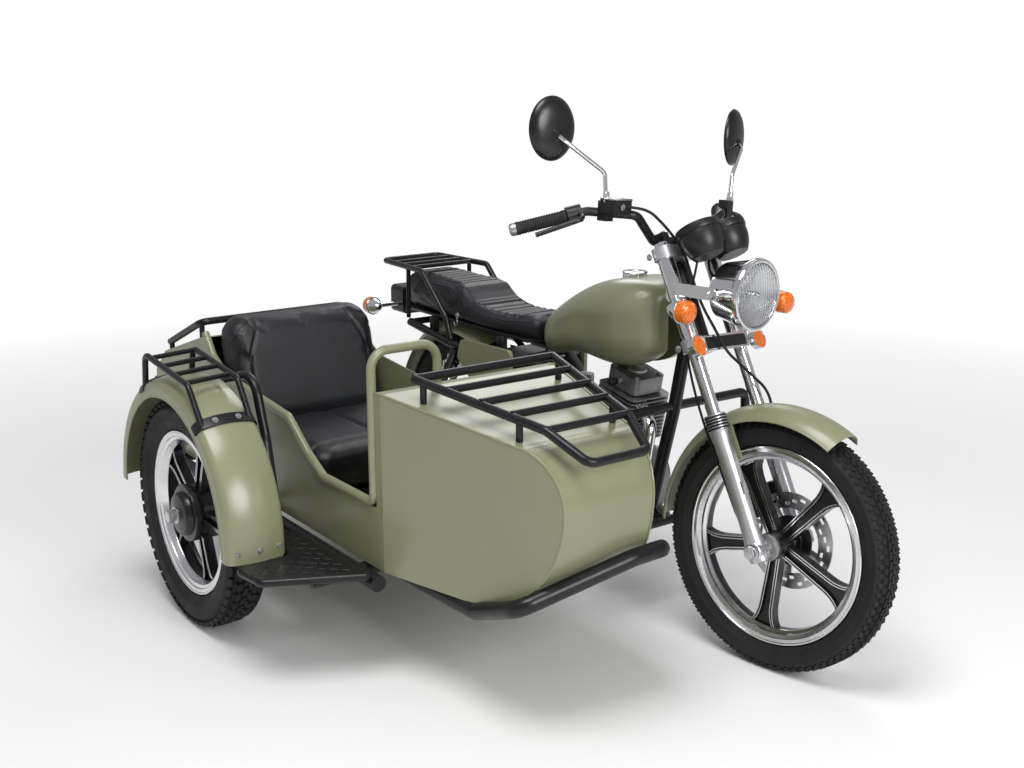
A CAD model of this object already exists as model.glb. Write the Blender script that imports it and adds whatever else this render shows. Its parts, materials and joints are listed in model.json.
import bmesh
import bpy
import json
import math
from mathutils import Matrix, Vector
from mathutils.bvhtree import BVHTree


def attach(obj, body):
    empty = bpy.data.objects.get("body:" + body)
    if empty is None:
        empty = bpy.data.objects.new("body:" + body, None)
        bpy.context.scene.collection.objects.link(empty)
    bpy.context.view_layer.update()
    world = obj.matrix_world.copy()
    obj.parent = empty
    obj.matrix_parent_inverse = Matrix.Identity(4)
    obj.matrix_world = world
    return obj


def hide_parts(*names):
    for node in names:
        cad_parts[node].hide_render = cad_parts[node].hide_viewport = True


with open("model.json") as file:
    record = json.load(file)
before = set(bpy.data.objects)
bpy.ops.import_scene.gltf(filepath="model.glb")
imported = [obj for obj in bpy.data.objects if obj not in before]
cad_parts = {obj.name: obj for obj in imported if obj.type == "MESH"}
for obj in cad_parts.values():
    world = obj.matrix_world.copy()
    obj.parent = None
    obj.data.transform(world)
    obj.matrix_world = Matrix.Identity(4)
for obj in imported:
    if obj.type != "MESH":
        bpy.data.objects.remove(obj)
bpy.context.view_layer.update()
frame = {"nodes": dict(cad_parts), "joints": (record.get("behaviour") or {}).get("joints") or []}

# ---- places: pieces are drawn in metres from the rear axle's middle, straight ahead, and then moved
layout = {"originAhead": 0.508463, "originRight": 0.34339, "rake": math.radians(27.9),
          "restLock": math.radians(8.9), "steerOffset": 0.045}
steering = next(joint for joint in frame["joints"] if joint["name"] == "steering")
toPart = Matrix.Translation((-layout["originAhead"], layout["originRight"], 0))
pivot = Vector(steering["pos_m"])
steerTurn = Matrix.Rotation(layout["restLock"], 4, Vector(steering["axis"]))
toPartSteered = Matrix.Translation(pivot) @ steerTurn @ Matrix.Translation(-pivot) @ toPart
forkAhead = Vector((math.cos(layout["rake"]), 0, math.sin(layout["rake"])))
forkUp = Vector((-math.sin(layout["rake"]), 0, math.cos(layout["rake"])))
forkTurn = Matrix((forkAhead, (0, 1, 0), forkUp)).transposed()
frontAxle = toPart.inverted() @ pivot + forkAhead * layout["steerOffset"]


def aside(distance):
    return Vector((0, distance, 0))


def onCircle(centre, radius, angle, across=0.0):
    # a point of an upright circle that faces sideways
    return Vector(centre) + Vector((radius * math.cos(angle), across, radius * math.sin(angle)))


def onFork(ahead, left, up):
    # a point given ahead of the fork legs, to the left, and up the legs from the axle
    return frontAxle + forkAhead * ahead + aside(left) + forkUp * up


def addObject(name, data):
    made = bpy.data.objects.new(name, data)
    bpy.context.scene.collection.objects.link(made)
    return made


# ---- camera
cameraView = {"place": (3.3213, -2.2717, 1.4595), "pitch": 14.195, "heading": 53.819, "focal": 1311,
              "frame": 1024, "sensor": 36}
cameraData = bpy.data.cameras.new("camera")
cameraData.sensor_width = cameraView["sensor"]
cameraData.lens = cameraView["focal"] / cameraView["frame"] * cameraView["sensor"]
camera = addObject("camera", cameraData)
camera.location = toPart @ Vector(cameraView["place"])
camera.rotation_euler = (math.radians(90 - cameraView["pitch"]), 0, math.radians(cameraView["heading"]))
bpy.context.scene.camera = camera
print("camera set")

# ---- materials


def feed(tree, node, inputs):
    # each input takes a value, or a wire from another node
    for key, value in inputs.items():
        if isinstance(value, bpy.types.NodeSocket):
            tree.links.new(value, node.inputs[key])
        else:
            node.inputs[key].default_value = value


def addNode(tree, kind, inputs, **settings):
    node = tree.nodes.new("ShaderNode" + kind)
    for key, value in settings.items():
        setattr(node, key, value)
    feed(tree, node, inputs)
    return node


def startMaterial(name):
    material = bpy.data.materials.new(name)
    material.use_nodes = True
    tree = material.node_tree
    return tree, tree.nodes["Principled BSDF"], addNode(tree, "TexCoord", {}).outputs["Object"]


def addNoise(tree, place, scale, detail, roughness):
    looks = {"Scale": scale, "Detail": detail, "Roughness": roughness, "Vector": place}
    return addNode(tree, "TexNoise", looks).outputs["Fac"]


def addRange(tree, source, low, high, start=0.3, end=0.7):
    looks = {"From Min": start, "From Max": end, "To Min": low, "To Max": high, "Value": source}
    return addNode(tree, "MapRange", looks).outputs["Result"]


def addBlend(tree, source, first, second):
    ramp = addNode(tree, "ValToRGB", {"Fac": source})
    for stop, position, colour in zip(ramp.color_ramp.elements, (0.35, 0.65), (first, second)):
        stop.position = position
        stop.color = (*colour, 1)
    return ramp.outputs["Color"]


def addBump(tree, source, distance, strength=1.0):
    looks = {"Strength": strength, "Distance": distance, "Height": source}
    return addNode(tree, "Bump", looks).outputs["Normal"]


def finishMaterial(name, first, second, patchScale, rough, grainScale, grainDepth, metallic=0.0, coat=0.0,
                   coatRough=0.1, specular=0.5):
    # a surface with patches between two colours, uneven gloss and a fine grain
    tree, shader, place = startMaterial(name)
    feed(tree, shader, {
        "Base Color": addBlend(tree, addNoise(tree, place, patchScale, 4.0, 0.6), first, second),
        "Roughness": addRange(tree, addNoise(tree, place, patchScale * 2.7, 5.0, 0.65), *rough),
        "Normal": addBump(tree, addNoise(tree, place, grainScale, 2.0, 0.5), grainDepth),
        "Metallic": metallic, "Coat Weight": coat, "Coat Roughness": coatRough,
        "Specular IOR Level": specular,
    })


finishes = {
    # two colours, patch scale, roughness, grain scale and depth, metal, coat and its roughness, specular
    "olivePaint": ((0.206, 0.212, 0.124), (0.224, 0.23, 0.136), 2.2, (0.3, 0.38), 700, 3e-5, 0, 0.35, 0.18),
    "blackPaint": ((0.004, 0.004, 0.005), (0.008, 0.008, 0.009),
        14, (0.28, 0.42), 900, 6e-5, 0, 0.1, 0.2, 0.35),
    "wheelPaint": ((0.004, 0.004, 0.005), (0.008, 0.008, 0.009),
        18, (0.25, 0.36), 1200, 4e-5, 0, 0.2, 0.15, 0.4),
    "tyreRubber": ((0.007, 0.007, 0.0075), (0.014, 0.0135, 0.013),
        9, (0.6, 0.78), 600, 12e-5, 0, 0, 0.1, 0.35),
    "gripRubber": ((0.006, 0.006, 0.007), (0.011, 0.011, 0.012),
        30, (0.5, 0.66), 1500, 8e-5, 0, 0, 0.1, 0.35),
    "blackPlastic": ((0.006, 0.006, 0.007), (0.011, 0.011, 0.012),
        20, (0.3, 0.42), 1800, 6e-5, 0, 0, 0.1, 0.45),
    "chromePlate": ((0.8, 0.8, 0.81), (0.86, 0.86, 0.87), 7, (0.05, 0.11), 500, 8e-6, 1),
    "satinAlloy": ((0.58, 0.58, 0.6), (0.68, 0.68, 0.7), 11, (0.26, 0.36), 900, 3e-5, 0.85),
    "machinedAlloy": ((0.7, 0.7, 0.71), (0.8, 0.8, 0.81), 15, (0.16, 0.26), 1400, 2e-5, 1),
    "castAlloy": ((0.24, 0.24, 0.245), (0.34, 0.34, 0.345), 16, (0.42, 0.58), 650, 18e-5, 0.9),
    "brushedSteel": ((0.5, 0.5, 0.51), (0.6, 0.6, 0.61), 24, (0.24, 0.38), 1100, 4e-5, 1),
    "redLens": ((0.45, 0.012, 0.01), (0.55, 0.02, 0.016), 22, (0.1, 0.18), 160, 60e-5, 0, 1, 0.04),
    "dialWhite": ((0.75, 0.75, 0.74), (0.8, 0.8, 0.79), 30, (0.4, 0.5), 900, 1e-5),
    "mirrorGlass": ((0.86, 0.87, 0.88), (0.88, 0.89, 0.9), 10, (0.01, 0.02), 400, 1e-6, 1),
}
for name, look in finishes.items():
    finishMaterial(name, *look)


def leatherMaterial(name):
    # black vinyl: pebbled grain from cells, soft sheen, gloss that varies where it is sat on
    tree, shader, place = startMaterial(name)
    patches = addNoise(tree, place, 6, 3.0, 0.6)
    cells = addNode(tree, "TexVoronoi", {"Scale": 420, "Vector": place}, feature="DISTANCE_TO_EDGE")
    height = addRange(tree, cells.outputs["Distance"], 0.0, 1.0, 0.0, 0.25)
    feed(tree, shader, {
        "Base Color": addBlend(tree, patches, (0.004, 0.0045, 0.006), (0.008, 0.009, 0.012)),
        "Roughness": addRange(tree, patches, 0.3, 0.44), "Normal": addBump(tree, height, 22e-5, 0.8),
        "Specular IOR Level": 0.5, "Sheen Weight": 0.02,
    })


def glassMaterial(name, fluted, depth, strength, colour, rough, bend):
    # clear glass with a slight ripple, or moulded with upright flutes across it
    tree, shader, place = startMaterial(name)
    height = addNoise(tree, place, 60, 1.0, 0.4)
    if fluted:
        height = addNode(tree, "TexWave", {"Scale": 32, "Distortion": 0.4, "Vector": place},
                         wave_type="BANDS", bands_direction="Y").outputs["Fac"]
    feed(tree, shader, {"Normal": addBump(tree, height, depth, strength), "Base Color": (*colour, 1),
                        "Roughness": rough, "Transmission Weight": 1.0, "IOR": bend})


def facetedLens(name, colour):
    # moulded lens: small facets under a clear gloss, and a little light from within
    tree, shader, place = startMaterial(name)
    cells = addNode(tree, "TexVoronoi", {"Scale": 190, "Vector": place}).outputs["Distance"]
    feed(tree, shader, {
        "Base Color": addBlend(tree, cells, colour, [c * 0.62 for c in colour]),
        "Normal": addBump(tree, cells, 0.0012, 0.7), "Roughness": 0.12, "Coat Weight": 0.5,
        "Coat Roughness": 0.03, "Emission Color": (*colour, 1), "Emission Strength": 0.06,
    })


leatherMaterial("blackLeather")
glassMaterial("clearGlass", False, 20e-5, 0.4, (0.96, 0.97, 0.98), 0.02, 1.3)
glassMaterial("lampGlass", True, 90e-5, 0.8, (0.97, 0.98, 0.99), 0.01, 1.35)
facetedLens("amberFacets", (0.78, 0.165, 0.004))
facetedLens("redFacets", (0.5, 0.012, 0.01))
print("materials made")

nodeFinish = {
    "tyreRubber": "front_tyre rear_tyre sidecar_tyre",
    "wheelPaint": "front_wheel rear_wheel sidecar_wheel",
    "olivePaint": "front_mudguard fuel_tank side_covers rear_mudguard sidecar_side_panels sidecar_shell "
                  "entry_rail sidecar_fender",
    "blackPaint": "handlebar mirrors frame swingarm tail_rack crash_bar nose_rack boot_rack fender_rack "
                  "sidecar_seat_base sidecar_chassis running_board sidecar_axle",
    "chromePlate": "fork_stanchions headlamp_shell front_signals rear_signals fork_plate rear_shocks exhaust "
                   "tank_cap chain_guard",
    "satinAlloy": "fork_sliders fork_yokes",
    "castAlloy": "crankcase cylinder carburettor",
    "brushedSteel": "front_brake_disc front_axle rear_axle drive_chain foot_controls",
    "blackPlastic": "hand_controls instruments brake_caliper rear_lamps air_box",
    "gripRubber": "hand_grips footrests brake_hose speedo_cable bar_wire",
    "blackLeather": "seat sidecar_cushion sidecar_backrest",
    "clearGlass": "headlamp_lens",
}
for finish, names in nodeFinish.items():
    for name in names.split():
        for materialSlot in frame["nodes"][name].material_slots:
            materialSlot.material = bpy.data.materials[finish]
print("frame finished")


# ---- builders: every piece is drawn straight ahead in metres from the rear axle


def newPiece(name, bm, materials, body, steered=False, angle=35, replaced=None):
    bmesh.ops.remove_doubles(bm, verts=bm.verts, dist=0.00001)
    bmesh.ops.recalc_face_normals(bm, faces=bm.faces)
    mesh = bpy.data.meshes.new(name)
    bm.to_mesh(mesh)
    bm.free()
    for material in materials.split():
        mesh.materials.append(bpy.data.materials[material])
    mesh.transform(toPartSteered if steered else toPart)
    mesh.shade_smooth()
    mesh.set_sharp_from_angle(angle=math.radians(angle))
    piece = addObject(name, mesh)
    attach(piece, body)
    if replaced:
        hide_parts(replaced)


def paintFrom(bm, start, material):
    bm.faces.ensure_lookup_table()
    for face in bm.faces[start:]:
        face.material_index = material


def addSpin(bm, profile, segments, material=0, axis=(0, 1, 0), centre=(0, 0, 0)):
    # a body of revolution: the profile is a list of radius and distance along the axis
    start = len(bm.faces)
    along, centre = Vector(axis).normalized(), Vector(centre)
    radial = along.orthogonal().normalized()
    verts = [bm.verts.new(centre + radial * r + along * a) for r, a in profile]
    edges = [bm.edges.new(pair) for pair in zip(verts, verts[1:])]
    bmesh.ops.spin(bm, geom=verts + edges, cent=centre, axis=along, angle=math.tau, steps=segments,
                   use_merge=True)
    paintFrom(bm, start, material)


def addTurned(bm, profile, *rest):
    # the same from a profile in millimetres
    addSpin(bm, [(radius / 1000, along / 1000) for radius, along in profile], *rest)


def addDrum(bm, centre, axis, radius, depth, material=0, segments=32, edge=0.0008):
    # a short cylinder with both rims eased, growing from centre along the axis
    edge = min(edge, radius * 0.4, depth * 0.4)
    addSpin(bm, [(0, 0), (radius - edge, 0), (radius, edge), (radius, depth - edge), (radius - edge, depth),
                 (0, depth)], segments, material, axis, centre)


def addBolt(bm, centre, axis, radius, material=0):
    # a flat washer, a hexagon head and the rounded end of its thread
    height = radius * 0.7
    addDrum(bm, centre, axis, radius * 1.45, radius * 0.22, material, 20, 0.0003)
    foot = Vector(centre) + Vector(axis).normalized() * radius * 0.22
    profile = [(0, 0), (radius, 0), (radius, height * 0.85), (radius * 0.85, height), (0, height)]
    addSpin(bm, profile, 6, material, axis, foot)


def addBlock(bm, centre, size, turn=None, edge=0.001, material=0, segments=2):
    start = len(bm.faces)
    turned = turn.to_4x4() if turn is not None else Matrix.Identity(4)
    placed = Matrix.Translation(centre) @ turned @ Matrix.Diagonal((*size, 1))
    made = bmesh.ops.create_cube(bm, size=1, matrix=placed)
    if edge:
        edges = list({e for v in made["verts"] for e in v.link_edges})
        bmesh.ops.bevel(bm, geom=edges, offset=edge, segments=segments, affect="EDGES", profile=0.5,
                        material=-1)
    paintFrom(bm, start, material)


def addTube(bm, points, radius, material=0, segments=12, closed=False):
    # a round tube through closely spaced points
    start = len(bm.faces)
    points = [Vector(p) for p in points]
    count = len(points)
    side = None
    rings = []
    for i, point in enumerate(points):
        before = points[i - 1] if i or closed else point
        after = points[(i + 1) % count] if i < count - 1 or closed else point
        way = (after - before).normalized()
        side = way.orthogonal().normalized() if side is None else (side - way * side.dot(way)).normalized()
        other = way.cross(side)
        rings.append([
            bm.verts.new(point + (side * math.cos(a) + other * math.sin(a)) * radius)
            for a in (math.tau * k / segments for k in range(segments))
        ])
    pairs = list(zip(rings, rings[1:])) + ([(rings[-1], rings[0])] if closed else [])
    for first, second in pairs:
        for k in range(segments):
            bm.faces.new((first[k], first[(k + 1) % segments], second[(k + 1) % segments], second[k]))
    if not closed:
        bm.faces.new(rings[0][::-1])
        bm.faces.new(rings[-1])
    paintFrom(bm, start, material)


def bentPath(points, bend):
    # straight runs joined by round corners, as closely spaced points
    steps = 6
    points = [Vector(p) for p in points]
    path = [points[0]]
    for before, here, after in zip(points, points[1:], points[2:]):
        back, ahead = (before - here).normalized(), (after - here).normalized()
        half = back.angle(ahead) / 2
        reach = min(bend / math.tan(half), 0.48 * (before - here).length, 0.48 * (after - here).length)
        first, last = here + back * reach, here + ahead * reach
        for k in range(steps + 1):
            t = k / steps
            path.append(first * (1 - t) ** 2 + here * 2 * t * (1 - t) + last * t ** 2)
    path.append(points[-1])
    return path


# ---- tyres
wheelPlaces = {
    "front": {"centre": frontAxle, "radius": 0.308, "width": 0.084, "rim": 0.242, "rimWidth": 0.06},
    "rear": {"centre": Vector((0, 0, 0.303)), "radius": 0.303, "width": 0.105, "rim": 0.216,
             "rimWidth": 0.072},
}
wheelPlaces["sidecar"] = dict(wheelPlaces["rear"], centre=Vector((0.232, -1.019, 0.303)))
ribTread = {
    "pitches": 84, "depth": 0.0045, "gap": 0.16,
    # across the tread: place, width, length against the pitch, turn in degrees, stagger
    "rows": ((0.0, 0.2, 1.0, 0, 0), (0.27, 0.22, 0.9, 14, 0.5), (-0.27, 0.22, 0.9, -14, 0.5),
             (0.55, 0.24, 0.8, 24, 0), (-0.55, 0.24, 0.8, -24, 0), (0.8, 0.16, 0.6, 30, 0.5),
             (-0.8, 0.16, 0.6, -30, 0.5)),
}
blockTread = {
    "pitches": 54, "depth": 0.007, "gap": 0.24,
    "rows": ((0.12, 0.2, 1.0, 20, 0), (-0.12, 0.2, 1.0, -20, 0.5), (0.42, 0.26, 1.0, -12, 0.5),
             (-0.42, 0.26, 1.0, 12, 0), (0.78, 0.34, 0.9, 0, 0), (-0.78, 0.34, 0.9, 0, 0.5)),
}


def addTyre(name, key, tread, steered=False):
    wheel = wheelPlaces[key]
    radius, half, rim, rimHalf = wheel["radius"], wheel["width"] / 2, wheel["rim"], wheel["rimWidth"] / 2
    depth = tread["depth"]

    def crownAt(share):
        return radius - 0.17 * half * 2 * abs(share) ** 2.5

    bm = bmesh.new()
    # from the bead over the sidewall with its two raised rings and over the crown to the other bead
    side = [
        (rim - 0.012, rimHalf - 0.0085), (rim + 0.001, rimHalf - 0.008), (rim + 0.004, rimHalf + 0.001),
        (rim + 0.006, rimHalf + 0.0025), (rim + 0.009, rimHalf + 0.003),
        (rim + (radius - rim) * 0.3, half * 0.9), (rim + (radius - rim) * 0.33, half * 0.93),
        (rim + (radius - rim) * 0.36, half * 0.925), (rim + (radius - rim) * 0.5, half * 0.985),
        (rim + (radius - rim) * 0.62, half * 0.975), (rim + (radius - rim) * 0.64, half * 0.985),
        (rim + (radius - rim) * 0.67, half * 0.96), (crownAt(0.97) - depth, half * 0.915),
    ]
    crown = [(crownAt(share) - depth, share * half * 0.94) for share in (0.85, 0.7, 0.5, 0.25, 0.0)]
    profile = side + crown + [(r, -a) for r, a in (side + crown[:-1])[::-1]]
    addSpin(bm, profile + [profile[0]], 120)
    pitch = math.tau / tread["pitches"]
    for place, width, length, turn, stagger in tread["rows"]:
        middle = crownAt(place)
        slope = (crownAt(abs(place) + 0.08) - crownAt(max(abs(place) - 0.08, 0))) / (0.16 * half)
        lean = math.atan(slope) * (1 if place > 0 else -1) if place else 0
        for n in range(tread["pitches"]):
            spin = Matrix.Rotation((n + stagger) * pitch, 3, "Y")
            tilt = Matrix.Rotation(-lean, 3, "X")
            size = (pitch * radius * (1 - tread["gap"]) * length, width * half, depth + 0.004)
            base = Vector((0, place * half, middle - size[2] / 2))
            addBlock(bm, spin @ base, size, spin @ tilt @ Matrix.Rotation(math.radians(turn), 3, "Z"), 0)
    bmesh.ops.translate(bm, verts=bm.verts, vec=wheel["centre"])
    newPiece(name, bm, "tyreRubber", f"{key}_wheel_set", steered, 30, f"{key}_tyre")


addTyre("frontTread", "front", ribTread, steered=True)
addTyre("rearTread", "rear", blockTread)
addTyre("sidecarTread", "sidecar", blockTread)
print("tyres made")

# ---- cast wheels: silver rim, five black double spokes that flare into it, bright machined edges
spokeShape = {"count": 5, "rib": 0.0085, "ribHalf": 0.013, "webHalf": 0.005, "edge": 0.0022,
              "hubHalfWidth": 0.016, "rimHalfWidth": 0.021, "flare": 0.034}


def addPrism(bm, left, right, low, high, material=0):
    # a bar between two lines drawn in the wheel's plane, from one distance along the axle to another
    start = len(bm.faces)
    rows = [[bm.verts.new((p[0], y, p[1])) for p in line] for y in (low, high) for line in (left, right)]
    nearLeft, nearRight, farLeft, farRight = rows
    last = len(left) - 1
    for i in range(last):
        bm.faces.new((nearLeft[i], nearLeft[i + 1], nearRight[i + 1], nearRight[i]))
        bm.faces.new((farLeft[i], farRight[i], farRight[i + 1], farLeft[i + 1]))
        bm.faces.new((nearLeft[i], farLeft[i], farLeft[i + 1], nearLeft[i + 1]))
        bm.faces.new((nearRight[i], nearRight[i + 1], farRight[i + 1], farRight[i]))
    for i in (0, last):
        bm.faces.new((nearLeft[i], nearRight[i], farRight[i], farLeft[i]))
    paintFrom(bm, start, material)


def addWheel(name, key, hub, phase, steered=False):
    wheel = wheelPlaces[key]
    rim, half = wheel["rim"], wheel["rimWidth"] / 2
    shape = spokeShape
    bm = bmesh.new()
    lip = [
        (rim - 0.014, half - 0.0072), (rim - 0.001, half - 0.007), (rim + 0.0005, half - 0.005),
        (rim + 0.0005, half + 0.0005), (rim - 0.001, half + 0.002), (rim - 0.004, half + 0.002),
        (rim - 0.006, half + 0.0002), (rim - 0.014, half - 0.0005), (rim - 0.016, half - 0.004),
        (rim - 0.024, half - 0.007), (rim - 0.026, half - 0.012), (rim - 0.033, half * 0.45),
        (rim - 0.034, half * 0.35),
    ]
    addSpin(bm, lip, 120, 1)
    addSpin(bm, [(r, -a) for r, a in lip], 120, 1)
    addSpin(bm, [(rim - 0.014, half - 0.0072), (rim - 0.026, half * 0.5), (rim - 0.026, -half * 0.5),
                 (rim - 0.014, 0.0072 - half)], 120, 0)
    addSpin(bm, [(rim - 0.034, half * 0.35), (rim - 0.034, -half * 0.35)], 120, 0)
    addTurned(bm, hub, 72)
    inner = min(r for r, a in hub[1:-1]) / 2000 + 0.012
    reach = rim - 0.0335
    steps = 14
    for n in range(shape["count"]):
        made = len(bm.verts)
        lines = []
        for i in range(steps + 1):
            t = i / steps
            r = inner + (reach - inner) * t
            wide = shape["hubHalfWidth"] + (shape["rimHalfWidth"] - shape["hubHalfWidth"]) * t
            wide += (shape["flare"] - shape["rimHalfWidth"]) * max(0, (t - 0.72) / 0.28) ** 2
            rise = math.sqrt(max(reach ** 2 - wide ** 2, 0)) if i == steps else r
            lines.append((rise, wide))
        for side in (-1, 1):
            outer = [(r, side * w) for r, w in lines]
            within = [(r, side * (w - shape["rib"])) for r, w in lines]
            addPrism(bm, outer, within, -shape["ribHalf"], shape["ribHalf"], 0)
            for face in (-1, 1):
                y = face * shape["ribHalf"]
                for first, second in ((0, shape["edge"]), (shape["rib"] - shape["edge"], shape["rib"])):
                    addPrism(bm, [(r, side * (w - first)) for r, w in lines],
                             [(r, side * (w - second)) for r, w in lines], y, y + face * 0.0004, 1)
        web = [(r, w - shape["rib"]) for r, w in lines]
        addPrism(bm, web, [(r, -w) for r, w in web], -shape["webHalf"], shape["webHalf"], 0)
        bm.verts.ensure_lookup_table()
        turn = Matrix.Rotation(math.radians(-phase - 360 / shape["count"] * n), 3, "Y")
        bmesh.ops.rotate(bm, verts=bm.verts[made:], cent=(0, 0, 0), matrix=turn)
    bmesh.ops.translate(bm, verts=bm.verts, vec=wheel["centre"])
    newPiece(name, bm, "wheelPaint machinedAlloy", f"{key}_wheel_set", steered, 32,
             f"{key}_wheel")


# each hub from end to end, in millimetres
frontHub = [(8.1, -40), (30, -40), (34, -37), (34, -20), (31, -16), (31, 16), (34, 20), (34, 37), (30, 40),
            (8.1, 40)]
drumHub = [(8.1, -66), (30, -66), (52, -60), (58, -52), (60, -44), (74, -42), (75, -40), (75, -22), (72, -20),
           (72, 18), (75, 20), (75, 40), (73, 42), (8.1, 42)]
addWheel("frontCasting", "front", frontHub, 49.6, steered=True)
addWheel("rearCasting", "rear", drumHub, 0)
addWheel("sidecarCasting", "sidecar", drumHub, 0)
print("wheels made")

# ---- front hub, slotted disc and axle ends
discShape = {"rows": (0.081, 0.088, 0.096, 0.104, 0.112, 0.12), "cells": 90, "near": 0.044,
             "thick": 0.004, "slotted": (1, 2, 3), "slotPitch": 9, "slotCells": (0, 1), "skew": 3, "arms": 5}


def addDisc(name):
    shape, cells = discShape, discShape["cells"]
    bm = bmesh.new()
    rings = [[bm.verts.new(onCircle((0, shape["near"], 0), r, math.tau * k / cells)) for k in range(cells)]
             for r in shape["rows"]]
    for row, (inner, outer) in enumerate(zip(rings, rings[1:])):
        for k in range(cells):
            slotPlace = (k + row * shape["skew"]) % shape["slotPitch"]
            if row not in shape["slotted"] or slotPlace not in shape["slotCells"]:
                bm.faces.new((inner[k], inner[(k + 1) % cells], outer[(k + 1) % cells], outer[k]))
    bmesh.ops.recalc_face_normals(bm, faces=bm.faces)
    made = bmesh.ops.extrude_face_region(bm, geom=bm.faces[:])
    moved = [item for item in made["geom"] if isinstance(item, bmesh.types.BMVert)]
    bmesh.ops.translate(bm, verts=moved, vec=(0, shape["thick"], 0))
    addTurned(bm, [(9.5, 40.5), (34, 40.5), (36, 43.5), (60, 43.5), (62, 44.5), (62, 47.5), (60, 48),
                   (9.5, 48), (9.5, 40.5)], 60, 1)
    for n in range(shape["arms"]):
        turn = Matrix.Rotation(math.tau * n / shape["arms"] + 0.3, 3, "Y")
        addBlock(bm, turn @ Vector((0.07, 0.0458, 0)), (0.026, 0.0036, 0.024), turn, 0.0008, 1)
        addBolt(bm, turn @ Vector((0.0765, 0.0476, 0)), (0, 1, 0), 0.0042, 2)
    bmesh.ops.translate(bm, verts=bm.verts, vec=frontAxle)
    newPiece(name, bm, "brushedSteel blackPlastic satinAlloy", "front_wheel_set", True, 30,
             "front_brake_disc")


addDisc("slottedDisc")

bm = bmesh.new()
# speedometer drive between the hub and the right leg, with its stepped cover and cable elbow
addTurned(bm, [(8.5, -42.5), (31, -42.5), (33, -44), (33, -50), (30, -52), (28, -58), (22, -60),
               (20, -66.5), (8.5, -66.5)], 48, 0, (0, 1, 0), frontAxle)
# axle ends: a washer and a long stepped nut with a split pin across it
for side in (-1, 1):
    foot = frontAxle + aside(side * 0.1132)
    addTurned(bm, [(0, 0), (19, 0), (20, 0.6), (20, 2.2), (19, 2.8), (0, 2.8)], 32, 1, (0, side, 0), foot)
    addTurned(bm, [(0, 2), (16.6, 2), (16.6, 10.5), (15, 12.5), (0, 12.5)], 6, 1, (0, side, 0), foot)
    addTurned(bm, [(0, 12), (9.2, 12), (9.2, 13.5), (7.8, 14.5), (0, 14.5)], 24, 1, (0, side, 0), foot)
newPiece("axleEnds", bm, "castAlloy brushedSteel", "front_fork", True)

# ---- fork legs: cast lugs at the axle, dust boots, brake and mudguard bosses
legShape = {"half": 0.091, "ridges": 5, "boot": 0.3006, "pitch": 0.0072, "bosses": (0.234, 0.28)}
bm = bmesh.new()
for side in (-1, 1):
    foot = onFork(0, side * legShape["half"], 0)
    # the slider swells at its foot and carries a clamp with a pinch bolt
    addTurned(bm, [(0, -27.5), (19, -27.5), (23.5, -24), (24.2, 20), (22.5, 40), (22.2, 180), (22.2, 268),
                   (24.5, 276), (24.5, 296), (23.5, 299.5), (16.8, 299.5)], 40, 0, forkUp, foot)
    addTurned(bm, [(0, -21.5), (22.5, -21.5), (24.5, -19), (24.5, 19), (22.5, 21.5), (0, 21.5)], 36, 0,
              (0, 1, 0), foot)
    addBlock(bm, onFork(0.018, side * legShape["half"], -0.012), (0.026, 0.022, 0.016), forkTurn, 0.003)
    addBolt(bm, onFork(0.03, side * legShape["half"], -0.012), forkAhead, 0.0045, 2)
    # ridged dust boot
    ridges = [(0.017, 0.2996)]
    for n in range(legShape["ridges"]):
        up = legShape["boot"] + n * legShape["pitch"]
        ridges += [(0.0262, up), (0.0268, up + 0.003), (0.0262, up + 0.0052), (0.024, up + 0.0062)]
    ridges += [(0.0215, 0.3375), (0.017, 0.34)]
    addSpin(bm, ridges, 36, 1, forkUp, foot)
    for up in legShape["bosses"]:
        addBolt(bm, onFork(0, side * 0.0612, up) - Vector((0, side * 0.0008, 0)), (0, -side, 0), 0.0055, 2)
addBlock(bm, onFork(-0.026, 0.083, 0.118), (0.022, 0.02, 0.07), forkTurn, 0.004)
addBlock(bm, onFork(0.022, -0.095, 0.15), (0.012, 0.014, 0.034), forkTurn, 0.003)
newPiece("forkLegs", bm, "satinAlloy gripRubber brushedSteel", "front_fork", True)

# ---- yoke bolts, stanchion caps and stem nut
bm = bmesh.new()
for side in (-1, 1):
    cap = onFork(0, side * legShape["half"], 0.7755)
    addTurned(bm, [(0, 0), (16.8, 0), (16.8, 3), (15, 4.8), (9.2, 4.8), (8.8, 1.6), (0, 1.6)], 36, 0, forkUp,
              cap)
    for up in (0.515, 0.753):
        addBolt(bm, onFork(-0.024, side * 0.1185, up), (0, side, 0), 0.0058, 1)
    for off in (-0.011, 0.011):
        addBolt(bm, onFork(-0.03 + off, side * 0.045, 0.8145), forkUp, 0.0048, 1)
addTurned(bm, [(0, 0), (19.5, 0), (20.5, 1), (20.5, 3), (16, 3), (16, 11), (14.5, 13), (0, 13)], 6, 1,
          forkUp, onFork(-0.045, 0, 0.768))
newPiece("yokeFittings", bm, "chromePlate brushedSteel", "front_fork", True)
print("front fork dressed")

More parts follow.
